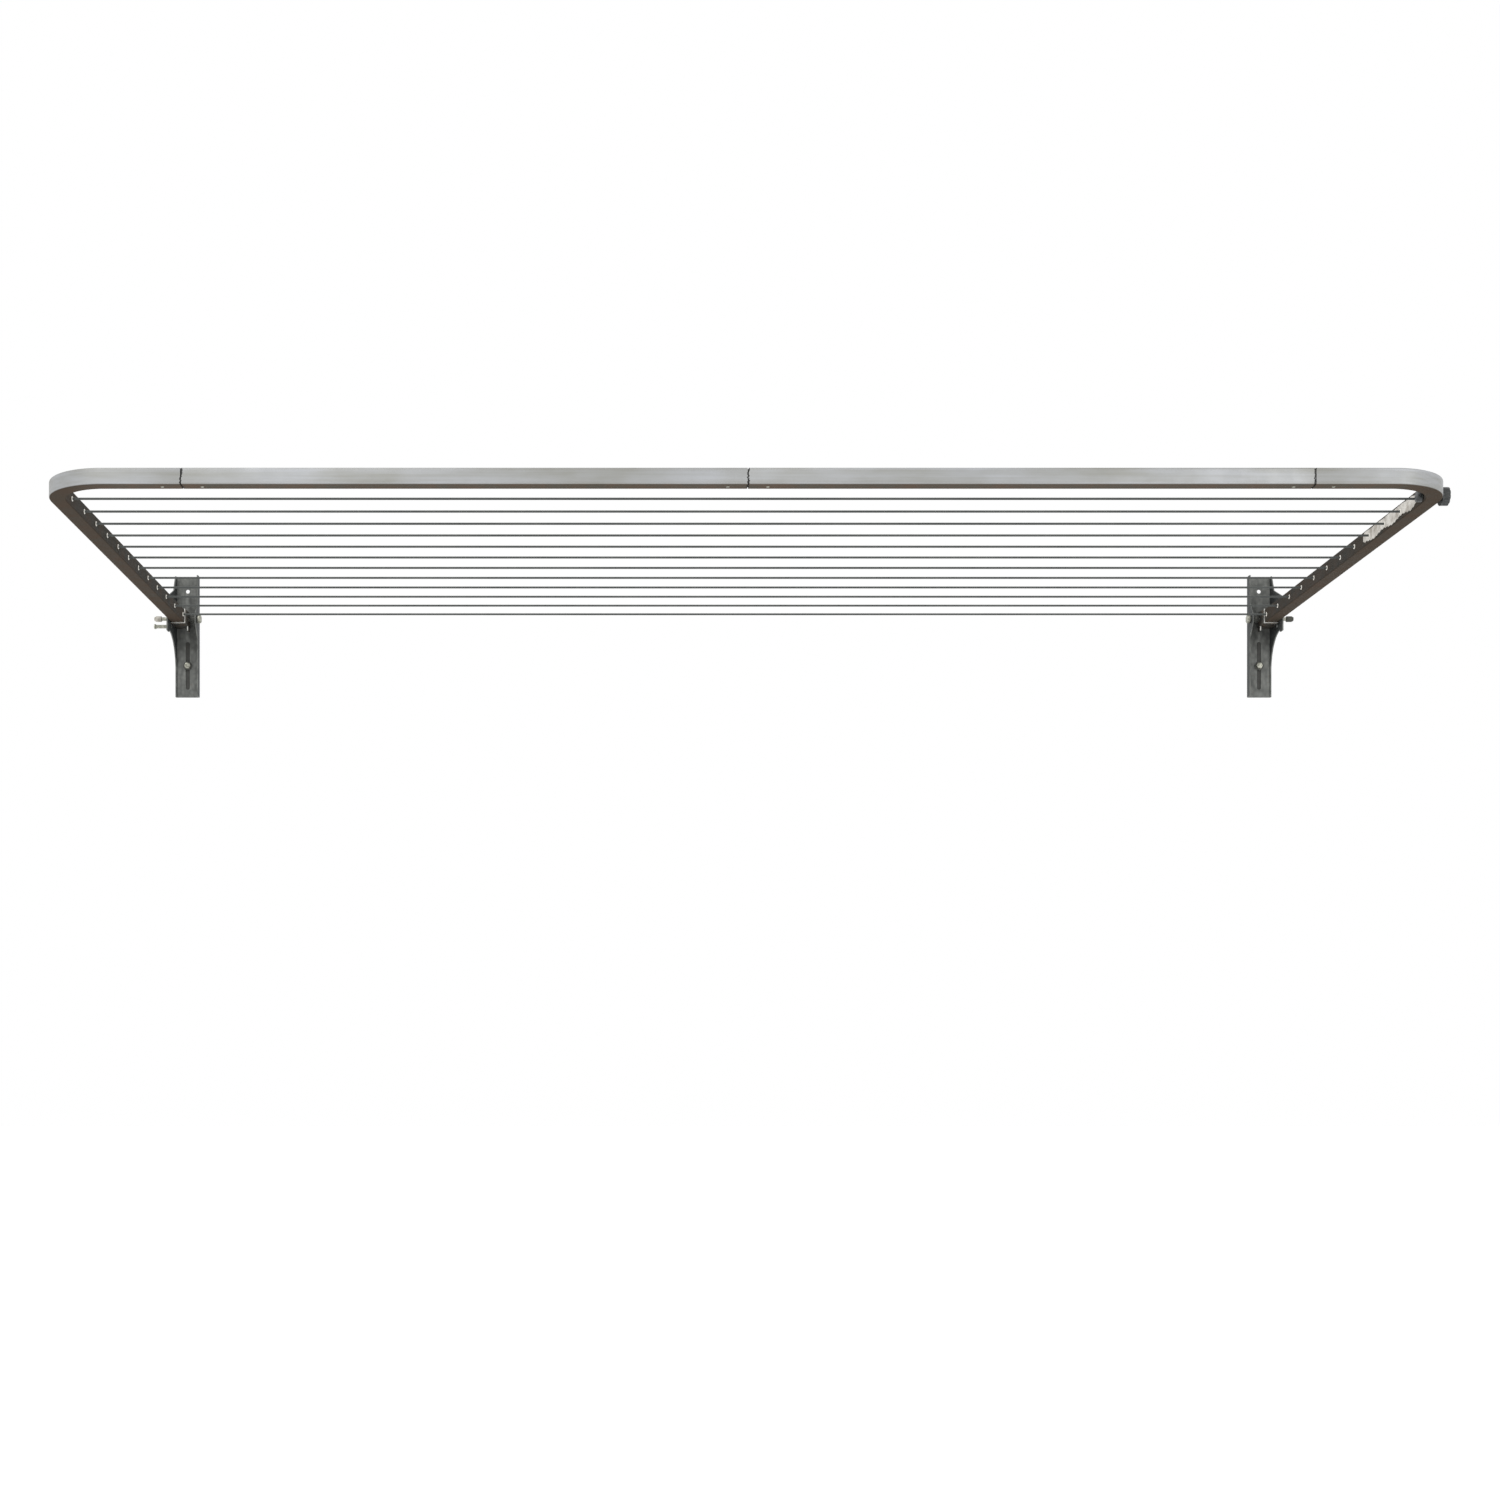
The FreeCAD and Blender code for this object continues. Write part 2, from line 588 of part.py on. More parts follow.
# A plain neck fills the washer and the web; the thread past the wall's face is a plain rod of its mean radius.
wall_neck = rod("WallNeck", "Sizes.bolt_radius", "Sizes.plate + Sizes.washer_thick", wall_place, "y")
wall_thread = rod("WallThread", "Sizes.thread_radius", "Sizes.wall_bolt_reach",
                  (middle, "0", "Sizes.wall_bolt_level"), "y")
wall_bolts = both_sides("wall_bolts", fuse("WallBolt", [wall_head, wall_neck, wall_thread]))
wall_washers = both_sides("wall_washers", tube("WallWasher", "Sizes.wall_washer_radius", "Sizes.bolt_radius",
                                               "Sizes.washer_thick", wall_place, "y"))

# Rivet holes go through the rails, arms and sleeves last, when all of those exist.
drilled = {}
for node in (arm_right, arm_left, rail_right, rail_left, sleeve_centre, sleeve_right, sleeve_left):
    drilled[node.Label] = cut(node.Name + "_riveted", node, rivet_holes)

doc.recompute()

# ---- check and write -----------------------------------------------------------------

nodes = {item.Label: item for item in (
    bracket_right, bracket_left, pivot_bolts, pivot_washers, pivot_nuts, spacers, bolt_caps, shoe_right,
    shoe_left, bushes, plugs, rivets, lines, eyelets_right, eyelets_left, links_left, links_right,
    line_stop, spindle, knob, inner_cap, lock_pin, wall_bolts, wall_washers)}
nodes.update(drilled)

for item in doc.Objects:
    if "Invalid" in item.State or "Error" in item.State:
        raise RuntimeError(f"{item.Name} failed: {item.State}")

os.makedirs("parts", exist_ok=True)
for label, item in nodes.items():
    shape = item.Shape
    if shape.isNull() or not shape.isValid() or not shape.Solids:
        raise RuntimeError(f"{label} has no sound shape")
    shape.exportStep(f"parts/{label}.step")
    print(f"{label}: {len(shape.Solids)} solids, {shape.Volume / 1000:.2f} cm3")
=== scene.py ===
import bpy
import bmesh
import json
import math
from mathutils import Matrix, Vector


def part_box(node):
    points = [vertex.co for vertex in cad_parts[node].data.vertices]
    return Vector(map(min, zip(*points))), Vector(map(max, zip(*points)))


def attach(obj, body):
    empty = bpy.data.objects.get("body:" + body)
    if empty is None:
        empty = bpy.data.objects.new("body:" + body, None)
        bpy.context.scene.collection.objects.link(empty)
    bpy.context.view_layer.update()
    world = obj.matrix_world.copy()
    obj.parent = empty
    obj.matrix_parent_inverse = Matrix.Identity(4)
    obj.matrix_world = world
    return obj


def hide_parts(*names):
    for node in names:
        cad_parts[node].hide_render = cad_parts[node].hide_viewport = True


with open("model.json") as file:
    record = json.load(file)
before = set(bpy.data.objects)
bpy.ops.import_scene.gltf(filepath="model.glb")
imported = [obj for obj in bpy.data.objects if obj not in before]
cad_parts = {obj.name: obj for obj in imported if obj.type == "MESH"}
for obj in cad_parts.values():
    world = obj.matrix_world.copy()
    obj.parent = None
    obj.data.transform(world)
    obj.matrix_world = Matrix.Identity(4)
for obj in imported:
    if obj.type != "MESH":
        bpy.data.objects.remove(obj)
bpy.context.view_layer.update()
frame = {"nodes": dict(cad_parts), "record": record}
sceneNow = bpy.context.scene


# one value in a shader: a sum written on it adds its Math nodes
class Amount:
    def __init__(self, bench, socket):
        self.bench, self.socket = bench, socket

    def maths(self, operation, first, second=None):
        return self.bench.add("ShaderNodeMath", {"operation": operation}, {0: first, 1: second})

    def __add__(self, other):
        return self.maths("ADD", self, other)

    def __sub__(self, other):
        return self.maths("SUBTRACT", self, other)

    def __rsub__(self, other):
        return self.maths("SUBTRACT", other, self)

    def __mul__(self, other):
        return self.maths("MULTIPLY", self, other)

    __radd__ = __add__
    __rmul__ = __mul__

    def least(self, other):
        return self.maths("MINIMUM", self, other)

    def sine(self):
        return self.maths("SINE", self)

    def size(self):
        return self.maths("ABSOLUTE", self)


# one material being made: its nodes are added through here
class Bench:
    def __init__(self, name):
        self.material = bpy.data.materials.new(name)
        self.material.use_nodes = True
        self.tree = self.material.node_tree
        self.tree.nodes.clear()
        self.shader = self.tree.nodes.new("ShaderNodeBsdfPrincipled")
        output = self.tree.nodes.new("ShaderNodeOutputMaterial")
        self.tree.links.new(self.shader.outputs[0], output.inputs[0])
        self.place = self.add("ShaderNodeTexCoord", {}, {}, "Object")

    def add(self, kind, settings, values, out=0):
        node = self.tree.nodes.new(kind)
        for key, value in settings.items():
            setattr(node, key, value)
        for key, value in values.items():
            if value is not None:
                self.feed(node.inputs[key], value)
        return Amount(self, node.outputs[out])

    def feed(self, socket, value):
        if isinstance(value, Amount):
            self.tree.links.new(value.socket, socket)
        else:
            socket.default_value = value

    def stretched(self, scale):
        return self.add("ShaderNodeMapping", {}, {"Vector": self.place, "Scale": scale})

    def noise(self, scale, detail, stretch=(1, 1, 1)):
        values = {"Vector": self.stretched(stretch), "Scale": scale, "Detail": detail, "Roughness": 0.55}
        return self.add("ShaderNodeTexNoise", {}, values, "Fac")

    def cells(self, scale, stretch):
        values = {"Vector": self.stretched(stretch), "Scale": scale}
        return self.add("ShaderNodeTexVoronoi", {}, values, "Distance")

    def ramp(self, amount, low, high):
        # 0 up to low, 1 from high, and even between them
        return self.add("ShaderNodeMapRange", {"clamp": True}, {0: amount, 1: low, 2: high, 3: 0.0, 4: 1.0})

    def blend(self, amount, first, second):
        # sockets 6 and 7 are a Mix node's two colours
        return self.add("ShaderNodeMix", {"data_type": "RGBA"}, {0: amount, 6: first, 7: second}, 2)

    def facing(self, axis):
        normal = self.add("ShaderNodeTexCoord", {}, {}, "Normal")
        return self.add("ShaderNodeSeparateXYZ", {}, {0: normal}, axis)

    def along(self, axis):
        return self.add("ShaderNodeSeparateXYZ", {}, {0: self.place}, axis)

    def bump(self, height, depth, strength):
        values = {"Height": height, "Distance": depth, "Strength": strength}
        return self.add("ShaderNodeBump", {}, values, "Normal")

    def finish(self, **sockets):
        for key, value in sockets.items():
            self.feed(self.shader.inputs[key.replace("_", " ")], value)
        return self.material


def grey(level):
    return (level, level, level, 1)


def galvanisedTube():
    look = {"pale": (0.385, 0.395, 0.41, 1), "dull": (0.275, 0.275, 0.255, 1),
            "film": (0.062, 0.055, 0.042, 1), "brown": (0.085, 0.058, 0.04, 1),
            "shade": (0.018, 0.018, 0.0145, 1), "tan": (0.036, 0.026, 0.018, 1),
            "joint": (0.012, 0.011, 0.01, 1)}
    bench = Bench("galvanisedTube")
    streaks = bench.noise(160, 4, (0.02, 0.3, 1))
    clouds = bench.noise(9, 3, (0.6, 1, 1.5))
    zinc = bench.blend(bench.ramp(streaks * 0.4 + clouds * 0.6, 0.36, 0.64), look["pale"], look["dull"])
    blotch = bench.ramp(bench.noise(30, 5), 0.32, 0.66)
    # downward faces get a dark brown film: partly grime, partly painted shade and a painted reflection of the
    # ground
    under = bench.ramp(bench.facing(2) * -1, 0.35, 0.8)
    underFilmAndShade = bench.blend(under * 0.96, zinc, bench.blend(blotch, look["film"], look["brown"]))
    # the arms' inner faces point at the middle of the rack and get painted shade
    inner = bench.ramp(bench.facing(0) * bench.along(0) * -1, 0.35, 0.95)
    innerShaded = bench.blend(inner * 0.95, underFilmAndShade, bench.blend(blotch, look["shade"], look["tan"]))
    # where two tubes meet, a ragged dark line runs round them
    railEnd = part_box("front_rail_right")[1][0]
    ragged = (bench.noise(170, 3, (0.2, 1, 1)) - 0.5) * 0.012
    across = bench.along(0) + ragged
    nearest = across.size().least((across.size() - railEnd).size())
    joint = 1 - bench.ramp(nearest, 0.0010, 0.0019)
    pits = bench.ramp(bench.noise(420, 3), 0.72, 0.8)
    pitted = bench.blend(pits * 0.22, innerShaded, look["shade"])
    colour = bench.blend(joint * 0.9, pitted, look["joint"])
    # the arms' undersides are browned further, partly grime and partly painted shade
    arms = bench.ramp(bench.along(0).size(), 1.10, 1.2)
    soilAndShade = bench.blend(under * arms * 0.6, colour, look["tan"])
    # the painted shade and film masks also roughen the metal and dull its shine
    shadeAndFilm = (under + inner).least(1.0)
    rough = 0.40 + blotch * 0.12 + shadeAndFilm * 0.3 + pits * 0.08
    bright = 0.55 - shadeAndFilm * 0.54
    height = streaks * 0.5 + bench.noise(300, 3) * 0.3 - joint * 0.5
    return bench.finish(Base_Color=soilAndShade, Metallic=bright, Roughness=rough, Specular_IOR_Level=0.03,
                        Normal=bench.bump(height, 0.0003, 0.22))


def bracketSteel():
    look = {"pale": (0.185, 0.19, 0.178, 1), "dull": (0.092, 0.096, 0.09, 1),
            "flange": (0.014, 0.018, 0.020, 1), "groove": (0.022, 0.022, 0.019, 1),
            "rust": (0.14, 0.085, 0.05, 1)}
    groove = {"floor": -0.0021, "face": -0.0026}
    bench = Bench("bracketSteel")
    runs = bench.noise(60, 5, (1, 1, 0.12))
    mottle = bench.noise(45, 6)
    spangle = bench.cells(120, (1, 1, 0.7))
    mixed = bench.ramp(runs * 0.5 + mottle * 0.45 + spangle * 0.3, 0.4, 0.75)
    zinc = bench.blend(mixed, look["pale"], look["dull"])
    # faces turned sideways, the flanges, are darkened with painted shade
    flange = bench.ramp(bench.facing(0).size(), 0.5, 0.95)
    shaded = bench.blend(flange * 0.78, zinc, look["flange"])
    # the groove's floor lies back from the web's front face and is darkened with painted shade
    sunk = bench.ramp(bench.along(1), groove["face"], groove["floor"])
    sunk = sunk * bench.ramp(bench.facing(1) * -1, 0.5, 0.9)
    grooved = bench.blend(sunk * 0.85, shaded, look["groove"])
    specks = bench.ramp(bench.noise(160, 4), 0.66, 0.74)
    height = mottle * 0.6 + bench.noise(500, 2) * 0.4
    return bench.finish(Base_Color=bench.blend(specks * 0.4, grooved, look["rust"]), Metallic=0.45,
                        Roughness=0.45 + mottle * 0.25, Normal=bench.bump(height, 0.0006, 0.4))


def zincHardware():
    look = {"bright": (0.42, 0.42, 0.36, 1), "dull": (0.20, 0.20, 0.165, 1)}
    bench = Bench("zincHardware")
    wear = bench.ramp(bench.noise(260, 4), 0.35, 0.65)
    colour = bench.blend(wear, look["bright"], look["dull"])
    return bench.finish(Base_Color=colour, Metallic=0.75, Roughness=0.3 + wear * 0.2,
                        Normal=bench.bump(bench.noise(900, 2), 0.0002, 0.3))


def shoeSteel():
    look = {"dull": (0.05, 0.052, 0.048, 1), "stain": (0.085, 0.062, 0.042, 1), "cut": (0.55, 0.55, 0.52, 1)}
    bench = Bench("shoeSteel")
    stain = bench.ramp(bench.noise(70, 5), 0.4, 0.68)
    # faces turned to the front get a pale painted highlight
    frontHighlight = bench.ramp(bench.facing(1) * -1, 0.75, 0.95)
    colour = bench.blend(frontHighlight, bench.blend(stain, look["dull"], look["stain"]), look["cut"])
    return bench.finish(Base_Color=colour, Metallic=0.6, Roughness=0.42 + stain * 0.2,
                        Normal=bench.bump(bench.noise(600, 3), 0.0003, 0.35))


def agedWasher():
    look = {"dark": (0.045, 0.047, 0.043, 1), "worn": (0.13, 0.13, 0.115, 1)}
    bench = Bench("agedWasher")
    worn = bench.ramp(bench.noise(210, 4), 0.45, 0.7)
    return bench.finish(Base_Color=bench.blend(worn, look["dark"], look["worn"]), Metallic=0.6,
                        Roughness=0.5 + worn * 0.12, Normal=bench.bump(bench.noise(800, 2), 0.0002, 0.3))


def capPlastic():
    # the left cap is clean and the right one has darkened
    look = {"clean": (0.46, 0.44, 0.39, 1), "worn": (0.27, 0.25, 0.21, 1),
            "darkened": (0.035, 0.036, 0.026, 1)}
    bench = Bench("capPlastic")
    scuffs = bench.ramp(bench.noise(180, 5), 0.5, 0.7)
    side = bench.ramp(bench.along(0), -0.1, 0.1)
    colour = bench.blend(side, bench.blend(scuffs, look["clean"], look["worn"]), look["darkened"])
    return bench.finish(Base_Color=colour, Roughness=0.4 + scuffs * 0.15,
                        Normal=bench.bump(bench.noise(1400, 2), 0.00012, 0.3))


def lineCover():
    look = {"sheath": (0.05, 0.055, 0.053, 1), "faded": (0.10, 0.105, 0.10, 1)}
    bench = Bench("lineCover")
    faded = bench.ramp(bench.noise(14, 4, (0.4, 1, 1)), 0.4, 0.65)
    # the lines' tops get a painted highlight in the pale colour, on top of the random fading
    litTop = bench.ramp(bench.facing(2), 0.0, 0.9)
    colour = bench.blend(faded * 0.5 + litTop * 0.35, look["sheath"], look["faded"])
    lay = (bench.along(0) * 900 + bench.along(2) * 1500).sine()
    height = lay * 0.5 + bench.noise(700, 2) * 0.5
    return bench.finish(Base_Color=colour, Roughness=0.5 + faded * 0.15, Specular_IOR_Level=0.25,
                        Normal=bench.bump(height, 0.0002, 0.4))


def plastic(name, base, worn, rough):
    bench = Bench(name)
    scuffs = bench.ramp(bench.noise(180, 5), 0.52, 0.7)
    grain = bench.noise(1600, 2)
    colour = bench.blend(scuffs * 0.7, base, worn)
    return bench.finish(Base_Color=colour, Roughness=rough + scuffs * 0.18,
                        Normal=bench.bump(grain, 0.00012, 0.3))


def sunlitPatchPaint():
    # painted sunlight: a pale pool of light on the arm, with darker blotches
    look = {"paper": (0.56, 0.54, 0.50, 1), "stain": (0.30, 0.275, 0.24, 1)}
    bench = Bench("sunlitPatchPaint")
    crease = bench.noise(120, 6, (1, 0.5, 1))
    stain = bench.ramp(bench.noise(45, 5), 0.42, 0.66)
    colour = bench.blend(stain, look["paper"], look["stain"])
    return bench.finish(Base_Color=colour, Roughness=0.75 + stain * 0.1,
                        Normal=bench.bump(crease, 0.001, 0.6))


finishes = {
    "galvanised_tube": galvanisedTube(),
    "galvanised_bracket": bracketSteel(),
    "zinc_hardware": zincHardware(),
    "line_cover": lineCover(),
    "pale_plastic": plastic("palePlastic", (0.72, 0.7, 0.64, 1), (0.5, 0.46, 0.4, 1), 0.42),
    "black_plastic": plastic("blackPlastic", (0.018, 0.02, 0.02, 1), (0.07, 0.075, 0.075, 1), 0.38),
}
finishOf = {part["node"]: finishes[part["material_slot"]] for part in frame["record"]["subparts"]}
shoes, washers = shoeSteel(), agedWasher()
finishOf.update(pivot_shoe_right=shoes, pivot_shoe_left=shoes, wall_washers=washers, pivot_washers=washers,
                spacer_sleeves=washers, bolt_end_caps=capPlastic())
for name, finish in finishOf.items():
    frame["nodes"][name].data.materials.clear()
    frame["nodes"][name].data.materials.append(finish)
print("finishes given to", len(finishOf), "nodes")


def listed(name, mesh, material, body, *nodes):
    if not mesh.materials:
        mesh.materials.append(material)
    piece = bpy.data.objects.new(name, mesh)
    sceneNow.collection.objects.link(piece)
    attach(piece, body)
    if nodes:
        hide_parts(*nodes)
    return piece


def settled(worker):
    # the modifiers' result as a plain mesh; the worker is thrown away
    sceneNow.view_layers[0].update()
    mesh = bpy.data.meshes.new_from_object(worker.evaluated_get(bpy.context.evaluated_depsgraph_get()))
    bpy.data.objects.remove(worker)
    return mesh


bodyOf = {node: body for body, nodes in frame["record"]["behaviour"]["bodies"].items() for node in nodes}


# degrees, and metres for merge
easing = {"merge": 0.00001, "flatUnder": 1.5, "bevelFrom": 38, "creaseFrom": 32, "segments": 2}


def easedCopy(node, edge):
    # a merged copy of the CAD piece with its sharp edges eased
    mesh = frame["nodes"][node].data.copy()
    work = bmesh.new()
    work.from_mesh(mesh)
    flatUnder = math.radians(easing["flatUnder"])
    bmesh.ops.remove_doubles(work, verts=work.verts, dist=easing["merge"])
    bmesh.ops.dissolve_limit(work, angle_limit=flatUnder, verts=work.verts, edges=work.edges)
    work.to_mesh(mesh)
    work.free()
    worker = bpy.data.objects.new(node + "Worker", mesh)
    sceneNow.collection.objects.link(worker)
    bevel = worker.modifiers.new("easedEdges", "BEVEL")
    bevel.width = edge
    bevel.segments = easing["segments"]
    bevel.limit_method = "ANGLE"
    bevel.angle_limit = math.radians(easing["bevelFrom"])
    bevel.use_clamp_overlap = False
    smooth = settled(worker)
    smooth.polygons.foreach_set("use_smooth", [True] * len(smooth.polygons))
    smooth.set_sharp_from_angle(angle=math.radians(easing["creaseFrom"]))
    words = node.split("_")
    name = words[0] + "".join(word.capitalize() for word in words[1:])
    return listed(name, smooth, finishOf[node], bodyOf[node], node)


easedEdges = {
    "wall_bracket_right": 0.0005, "wall_bracket_left": 0.0005, "pivot_shoe_right": 0.0004,
    "pivot_shoe_left": 0.0004, "pivot_bolts": 0.0006, "pivot_nuts": 0.0005, "pivot_washers": 0.0003,
    "bolt_end_caps": 0.0009, "wall_bolts": 0.0006, "wall_washers": 0.0003, "arm_end_plugs": 0.0005,
    "tension_knob": 0.0006, "tension_inner_cap": 0.0008, "lock_pin": 0.0009, "spacer_sleeves": 0.0003,
    "right_arm": 0.0002, "left_arm": 0.0002, "front_rail_right": 0.0002, "front_rail_left": 0.0002,
}
for node, edge in easedEdges.items():
    easedCopy(node, edge)
print("eased pieces made:", len(easedEdges))


# one Geometry Nodes tree with named inputs
class Recipe:
    def __init__(self, name, sizes):
        self.tree = bpy.data.node_groups.new(name, "GeometryNodeTree")
        self.keys = {}
        self.tree.interface.new_socket(name="Geometry", in_out="INPUT", socket_type="NodeSocketGeometry")
        for key, kind in sizes.items():
            given = self.tree.interface.new_socket(name=key, in_out="INPUT", socket_type="NodeSocket" + kind)
            self.keys[key] = given.identifier
        self.tree.interface.new_socket(name="Geometry", in_out="OUTPUT", socket_type="NodeSocketGeometry")
        self.given = self.tree.nodes.new("NodeGroupInput")
        self.result = self.tree.nodes.new("NodeGroupOutput")

    def named(self, key):
        return self.given.outputs[key]

    def add(self, kind, settings, values, out=0):
        node = self.tree.nodes.new(kind)
        for key, value in settings.items():
            setattr(node, key, value)
        for key, value in values.items():
            if isinstance(value, bpy.types.NodeSocket):
                self.tree.links.new(value, node.inputs[key])
            else:
                node.inputs[key].default_value = value
        return node.outputs[out]

    def joined(self, *shapes):
        node = self.tree.nodes.new("GeometryNodeJoinGeometry")
        for shape in shapes:
            self.tree.links.new(shape, node.inputs[0])
        return node.outputs[0]

    def circle(self, radius, sides):
        values = {"Radius": self.named(radius), "Resolution": self.named(sides)}
        return self.add("GeometryNodeCurvePrimitiveCircle", {}, values)

    def placed(self, shape):
        # one shape on every point of the host mesh, made real and given its material
        points = self.add("GeometryNodeMeshToPoints", {}, {"Mesh": self.named("Geometry")})
        spread = self.add("GeometryNodeInstanceOnPoints", {}, {"Points": points, "Instance": shape})
        real = self.add("GeometryNodeRealizeInstances", {}, {0: spread})
        values = {"Geometry": real, "Material": self.named("Material")}
        coated = self.add("GeometryNodeSetMaterial", {}, values)
        self.tree.links.new(coated, self.result.inputs[0])

    def build(self, name, places, sizes):
        host = bpy.data.meshes.new(name + "Places")
        host.from_pydata(places, [], [])
        worker = bpy.data.objects.new(name + "Worker", host)
        sceneNow.collection.objects.link(worker)
        modifier = worker.modifiers.new(name, "NODES")
        modifier.node_group = self.tree
        for key, value in sizes.items():
            modifier[self.keys[key]] = value
        return settled(worker)


def lineRecipe():
    recipe = Recipe("tautLine", {"Half": "Vector", "Other half": "Vector", "Radius": "Float",
                                 "Sides": "Int", "Material": "Material"})
    ends = {"Start": recipe.named("Half"), "End": recipe.named("Other half")}
    run = recipe.add("GeometryNodeCurvePrimitiveLine", {}, ends)
    ring = recipe.circle("Radius", "Sides")
    cord = recipe.add("GeometryNodeCurveToMesh", {}, {"Curve": run, "Profile Curve": ring, "Fill Caps": True})
    recipe.placed(recipe.add("GeometryNodeSetShadeSmooth", {}, {0: cord}))
    return recipe


def eyeletRecipe():
    recipe = Recipe("roundedEyelet", {"Ring": "Float", "Ring sides": "Int", "Swell": "Float",
                                      "Swell sides": "Int", "Material": "Material"})
    ring = recipe.circle("Ring", "Ring sides")
    swell = recipe.circle("Swell", "Swell sides")
    torus = recipe.add("GeometryNodeCurveToMesh", {}, {"Curve": ring, "Profile Curve": swell})
    turned = recipe.add("GeometryNodeTransform", {}, {"Geometry": torus, "Rotation": (0, math.pi / 2, 0)})
    recipe.placed(recipe.add("GeometryNodeSetShadeSmooth", {}, {0: turned}))
    return recipe


def rivetRecipe():
    recipe = Recipe("blindRivet", {"Head": "Float", "Head sides": "Int", "Head rings": "Int",
                                   "Dome": "Vector", "Shank": "Float", "Shank sides": "Int",
                                   "Length": "Float", "Sink": "Vector", "Material": "Material"})
    ballSizes = {"Radius": recipe.named("Head"), "Segments": recipe.named("Head sides"),
                 "Rings": recipe.named("Head rings")}
    ball = recipe.add("GeometryNodeMeshUVSphere", {}, ballSizes)
    dome = recipe.add("GeometryNodeTransform", {}, {"Geometry": ball, "Scale": recipe.named("Dome")})
    stemSizes = {"Radius": recipe.named("Shank"), "Vertices": recipe.named("Shank sides"),
                 "Depth": recipe.named("Length")}
    stem = recipe.add("GeometryNodeMeshCylinder", {}, stemSizes)
    sunk = recipe.add("GeometryNodeTransform", {}, {"Geometry": stem, "Translation": recipe.named("Sink")})
    recipe.placed(recipe.add("GeometryNodeSetShadeSmooth", {}, {0: recipe.joined(dome, sunk)}))
    return recipe


dryingLine = {"count": 12, "sides": 14}


def runPlaces(x):
    # a point on each run of the line, at x along it
    count = dryingLine["count"]
    low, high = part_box("drying_lines")
    radius = (high[2] - low[2]) / 2
    pitch = (high[1] - low[1] - 2 * radius) / (count - 1)
    level = (high[2] + low[2]) / 2
    places = [(x, high[1] - radius - number * pitch, level) for number in range(count)]
    return places, radius


def makeLines():
    places, radius = runPlaces(0)
    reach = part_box("drying_lines")[1][0]
    recipe = lineRecipe()
    mesh = recipe.build("dryingLines", places, {"Half": (-reach, 0, 0), "Other half": (reach, 0, 0),
                                                "Radius": radius, "Sides": dryingLine["sides"],
                                                "Material": finishes["line_cover"]})
    listed("dryingLines", mesh, finishes["line_cover"], "frame", "drying_lines")


def makeEyelets():
    eyelet = {"ringSides": 28, "swellSides": 14}
    recipe = eyeletRecipe()
    for side, node in ((1, "eyelets_right"), (-1, "eyelets_left")):
        low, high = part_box(node)
        flange = (high[2] - low[2]) / 2
        bore = runPlaces(0)[1]
        swell = (flange - bore) / 2
        face = min(abs(low[0]), abs(high[0]))
        places = runPlaces(side * (face + swell))[0]
        mesh = recipe.build(node, places, {
            "Ring": (flange + bore) / 2, "Ring sides": eyelet["ringSides"], "Swell": swell,
            "Swell sides": eyelet["swellSides"], "Material": finishes["pale_plastic"]})
        listed("eyeletsRight" if side > 0 else "eyeletsLeft", mesh, finishes["pale_plastic"], "frame", node)


def makeRivets():
    rivets = {"reach": 0.035, "head": 0.0032, "shank": 0.0016, "dome": 0.001,
              "headSides": 24, "headRings": 12, "shankSides": 20}
    low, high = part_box("rail_rivets")
    outer = high[0] - rivets["head"] - rivets["reach"]
    level = low[2] + rivets["dome"]
    stemLength = high[2] - level
    places = [(middle + way * rivets["reach"], (low[1] + high[1]) / 2, level)
              for middle in (-outer, 0, outer) for way in (-1, 1)]
    flat = rivets["dome"] / rivets["head"]
    mesh = rivetRecipe().build("railRivets", places, {
        "Head": rivets["head"], "Head sides": rivets["headSides"], "Head rings": rivets["headRings"],
        "Dome": (1, 1, flat), "Shank": rivets["shank"], "Shank sides": rivets["shankSides"],
        "Length": stemLength, "Sink": (0, 0, stemLength / 2), "Material": finishes["zinc_hardware"]})
    listed("railRivets", mesh, finishes["zinc_hardware"], "frame", "rail_rivets")


makeLines()
makeEyelets()
makeRivets()
print("lines, eyelets and rivets made")


def raggedEdge(waves, step):
    # each wave has a height, a rate and a start
    return sum(height * math.sin(step * rate + start) for height, rate, start in waves)


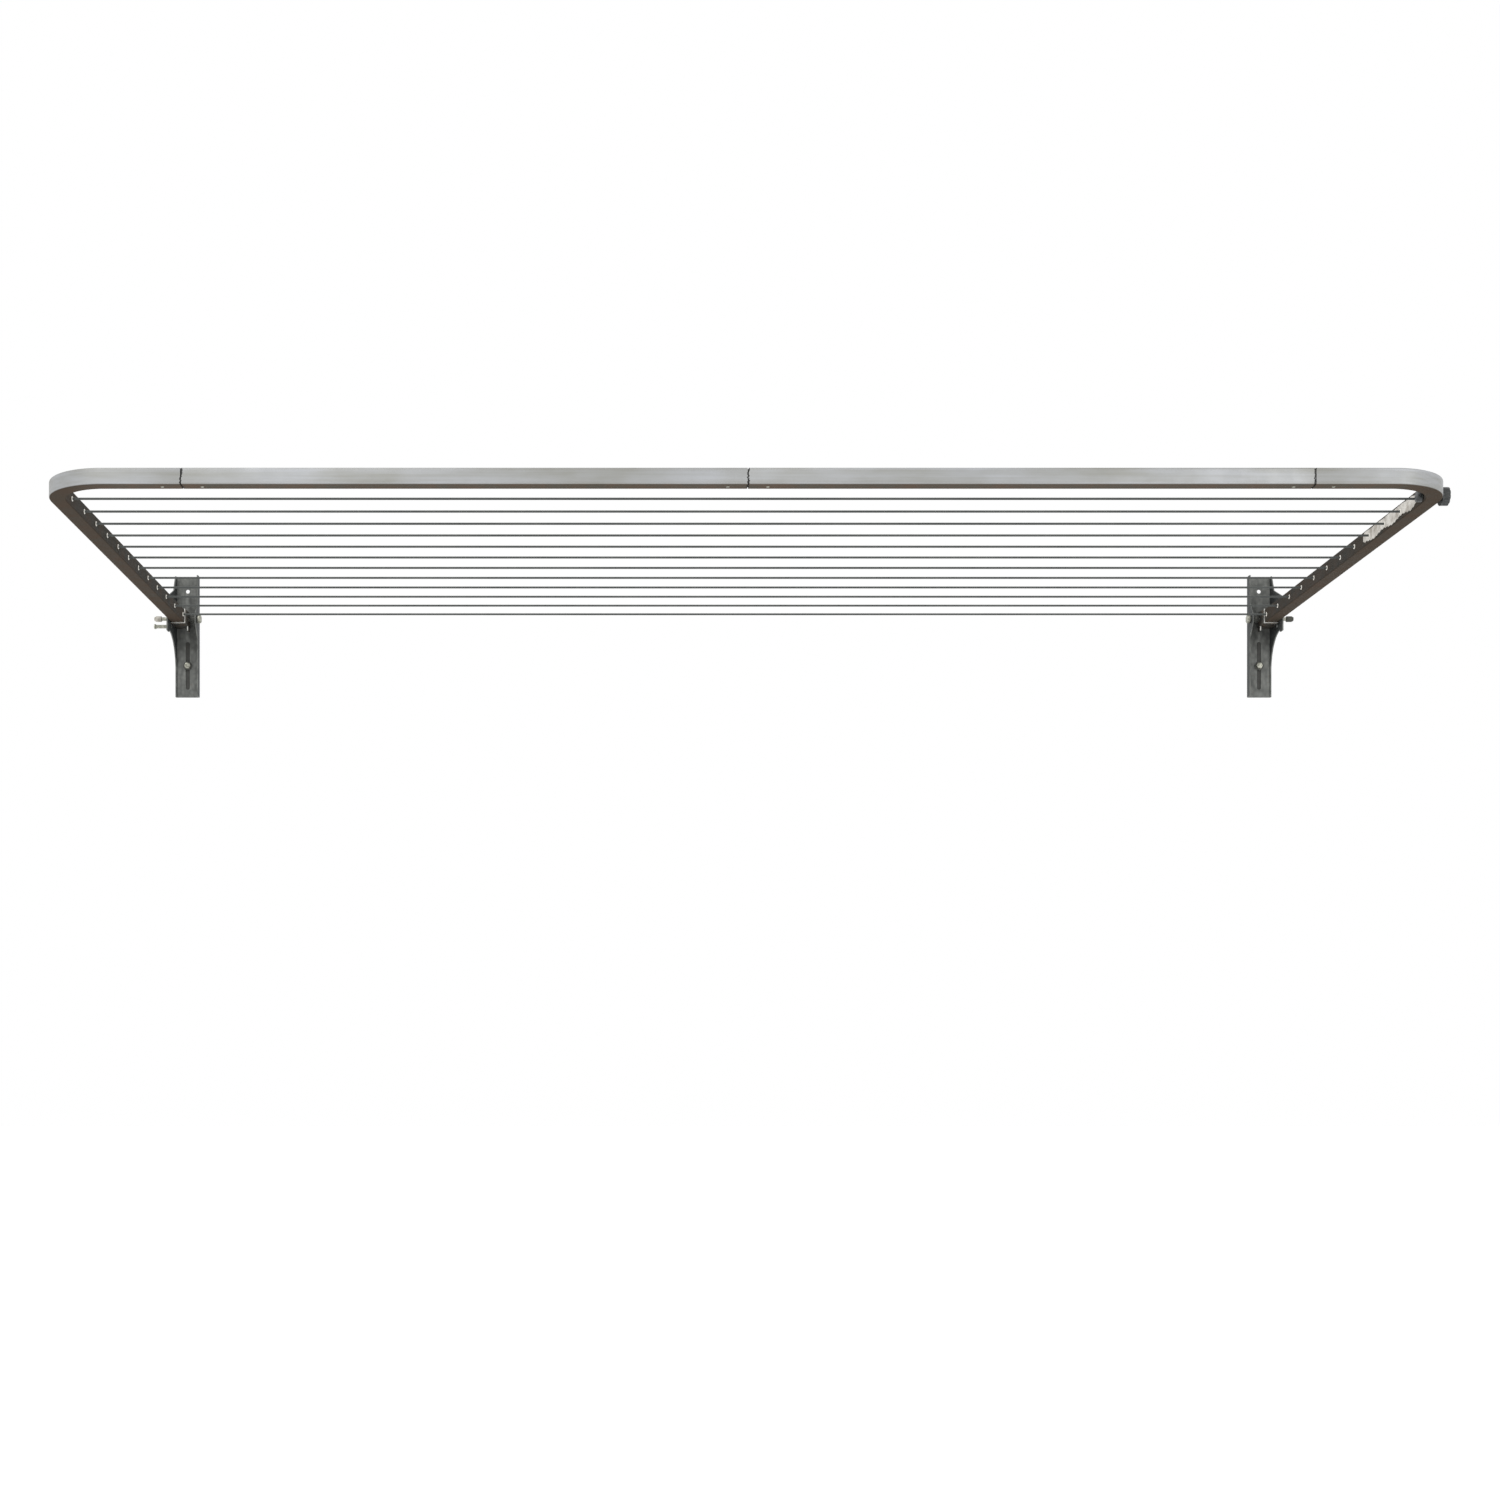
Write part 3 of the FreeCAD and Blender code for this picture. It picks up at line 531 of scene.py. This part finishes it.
def makeSunlitPatch():
    # a painted pool of sunlight: a thin pale sheet on the right arm's inner face, with ragged edges
    patchShape = {"rear": -0.768, "front": -1.086, "low": 0.005, "high": 0.0265, "thick": 0.00025, "steps": 90,
             "clear": 0.00005, "rearTaper": (0.55, 22), "frontTaper": (0.3, 5),
             "lowWaves": ((0.0024, 0.21, 1), (0.0009, 1.3, 0), (0.0005, 3.7, 0)),
             "highWaves": ((0.0006, 0.33, 0), (0.0005, 1.9, 0), (0.0004, 4.4, 0))}
    low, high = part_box("right_arm")
    inside = high[0] - (high[2] - low[2]) - patchShape["clear"]  # the tube is as wide as it is high
    rear, front = patchShape["rearTaper"], patchShape["frontTaper"]
    middle = low[2] + (patchShape["low"] + patchShape["high"]) / 2
    verts, faces = [], []
    for step in range(patchShape["steps"] + 1):
        part = step / patchShape["steps"]
        along = patchShape["rear"] + (patchShape["front"] - patchShape["rear"]) * part
        taper = min(1.0, rear[0] + rear[1] * part, front[0] + front[1] * (1 - part))
        ragLow = raggedEdge(patchShape["lowWaves"], step)
        ragHigh = raggedEdge(patchShape["highWaves"], step)
        half = (patchShape["high"] - patchShape["low"]) / 2 * taper
        for depth in (0, patchShape["thick"]):
            verts.append((inside - depth, along, middle - half + ragLow * taper))
            verts.append((inside - depth, along, middle + half + ragHigh * taper))
    for step in range(patchShape["steps"]):
        here, there = step * 4, step * 4 + 4
        # each step has back low, back high, front low, front high
        for first, second in ((2, 3), (3, 1), (1, 0), (0, 2)):
            faces.append((here + first, here + second, there + second, there + first))
    last = patchShape["steps"] * 4
    faces += [(0, 1, 3, 2), (last, last + 2, last + 3, last + 1)]
    mesh = bpy.data.meshes.new("sunlitPatch")
    mesh.from_pydata(verts, [], faces)
    work = bmesh.new()
    work.from_mesh(mesh)
    bmesh.ops.remove_doubles(work, verts=work.verts, dist=0.000001)
    bmesh.ops.recalc_face_normals(work, faces=work.faces)
    work.to_mesh(mesh)
    work.free()
    piece = listed("sunlitPatch", mesh, sunlitPatchPaint(), "frame")


makeSunlitPatch()
print("painted sunlight patch made")


def makeCamera():
    view = {"lens": 54.0, "sensor": 36.0, "place": (-0.1835, -5.143, -1.147), "shift": (0.0713, 0.2291)}
    data = bpy.data.cameras.new("studioCamera")
    data.lens = view["lens"]
    data.sensor_width = view["sensor"]
    data.shift_x, data.shift_y = view["shift"]
    camera = bpy.data.objects.new("studioCamera", data)
    camera.location = view["place"]
    camera.rotation_euler = (math.pi / 2, 0, 0)
    sceneNow.collection.objects.link(camera)
    sceneNow.camera = camera


def makeLight(name, place, aim, width, power):
    data = bpy.data.lights.new(name, "AREA")
    data.size = width
    data.energy = power
    light = bpy.data.objects.new(name, data)
    light.location = place
    light.rotation_euler = (Vector(aim) - Vector(place)).to_track_quat("-Z", "Y").to_euler()
    sceneNow.collection.objects.link(light)


def makeStudio():
    room = {"floor": -2.1, "reach": 60.0, "pale": 0.9, "dim": 0.88, "rough": 0.8, "glow": 0.16,
            "sky": 1.0, "strength": 1.0}
    lights = {
        "keyLight": {"place": (-2.5, -4.5, 3.0), "aim": (0, -0.6, 0), "width": 3.0, "power": 90},
        "fillLight": {"place": (3.0, -4.0, 0.5), "aim": (0.6, -0.5, 0), "width": 2.5, "power": 30},
    }
    mesh = bpy.data.meshes.new("studioFloor")
    reach, level = room["reach"], room["floor"]
    corners = [(x, y, level) for x, y in ((-reach, -reach), (reach, -reach), (reach, reach), (-reach, reach))]
    mesh.from_pydata(corners, [], [(0, 1, 2, 3)])
    floor = bpy.data.objects.new("studioFloor", mesh)
    sceneNow.collection.objects.link(floor)
    paint = Bench("studioFloorPaint")
    colour = paint.blend(paint.noise(0.8, 2), grey(room["pale"]), grey(room["dim"]))
    mesh.materials.append(paint.finish(Base_Color=colour, Roughness=room["rough"],
                                       Emission_Color=grey(1.0), Emission_Strength=room["glow"]))
    world = bpy.data.worlds.new("studioSky")
    world.use_nodes = True
    sky = world.node_tree.nodes["Background"]
    sky.inputs[0].default_value = grey(room["sky"])
    sky.inputs[1].default_value = room["strength"]
    sceneNow.world = world
    for name, light in lights.items():
        makeLight(name, **light)


makeCamera()
makeStudio()
sceneNow.view_settings.view_transform = "Standard"
print("studio made")
